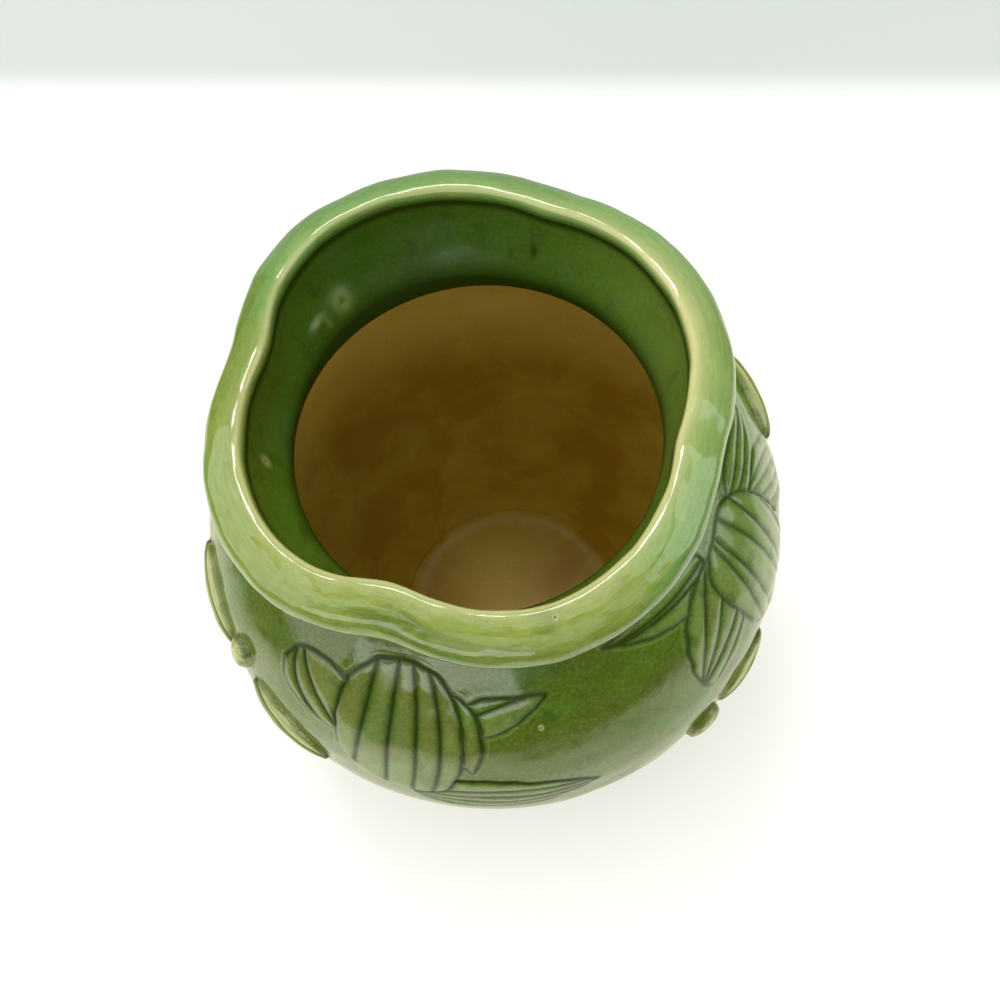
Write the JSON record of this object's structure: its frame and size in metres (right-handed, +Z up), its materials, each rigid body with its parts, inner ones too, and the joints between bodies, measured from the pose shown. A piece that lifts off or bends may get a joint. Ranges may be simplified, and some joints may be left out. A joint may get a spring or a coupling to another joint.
{
  "type": "vase",
  "caption": "Round-bellied glazed earthenware vase with a lobed rolled lip, scored leaf sprays and raised buds; holds flowers and water.",
  "frame": {"origin": "centre of the resting face under the foot", "axes": "+Z up through the mouth; -Y is the front, the side turned to the viewer"},
  "size_m": [0.1411, 0.142, 0.1456],
  "materials": {
    "body_glaze": "glossy",
    "lip_glaze": "glossy",
    "ornament_glaze": "glossy",
    "inside_glaze": "glossy",
    "bare_clay": "matt"
  },
  "bodies": {
    "root": {"back_bud": "ornament_glaze", "back_bud_leaf_a": "ornament_glaze", "back_bud_leaf_b": "ornament_glaze", "back_spray_belly_leaf": "ornament_glaze", "back_spray_left_leaf": "ornament_glaze", "back_spray_main_leaf": "ornament_glaze", "back_spray_right_leaf": "ornament_glaze", "back_spray_side_leaf": "ornament_glaze", "base_slab": "inside_glaze", "bowl_heel": "body_glaze", "foot_ring": "bare_clay", "front_bud": "ornament_glaze", "front_bud_leaf_a": "ornament_glaze", "front_bud_leaf_b": "ornament_glaze", "front_spray_belly_leaf": "ornament_glaze", "front_spray_left_leaf": "ornament_glaze", "front_spray_main_leaf": "ornament_glaze", "front_spray_right_leaf": "ornament_glaze", "front_spray_side_leaf": "ornament_glaze", "left_bud": "ornament_glaze", "left_bud_leaf_a": "ornament_glaze", "left_bud_leaf_b": "ornament_glaze", "left_spray_main_leaf": "ornament_glaze", "left_spray_narrow_leaf": "ornament_glaze", "left_spray_outer_leaf": "ornament_glaze", "left_spray_short_leaf": "ornament_glaze", "left_spray_upper_leaf": "ornament_glaze", "lower_bowl": "body_glaze", "neck_collar": "body_glaze", "right_bud": "ornament_glaze", "right_bud_leaf_a": "ornament_glaze", "right_bud_leaf_b": "ornament_glaze", "right_spray_main_leaf": "ornament_glaze", "right_spray_narrow_leaf": "ornament_glaze", "right_spray_outer_leaf": "ornament_glaze", "right_spray_short_leaf": "ornament_glaze", "right_spray_upper_leaf": "ornament_glaze", "rolled_lip": "lip_glaze", "upper_bowl": "body_glaze"}
  },
  "joints": []
}
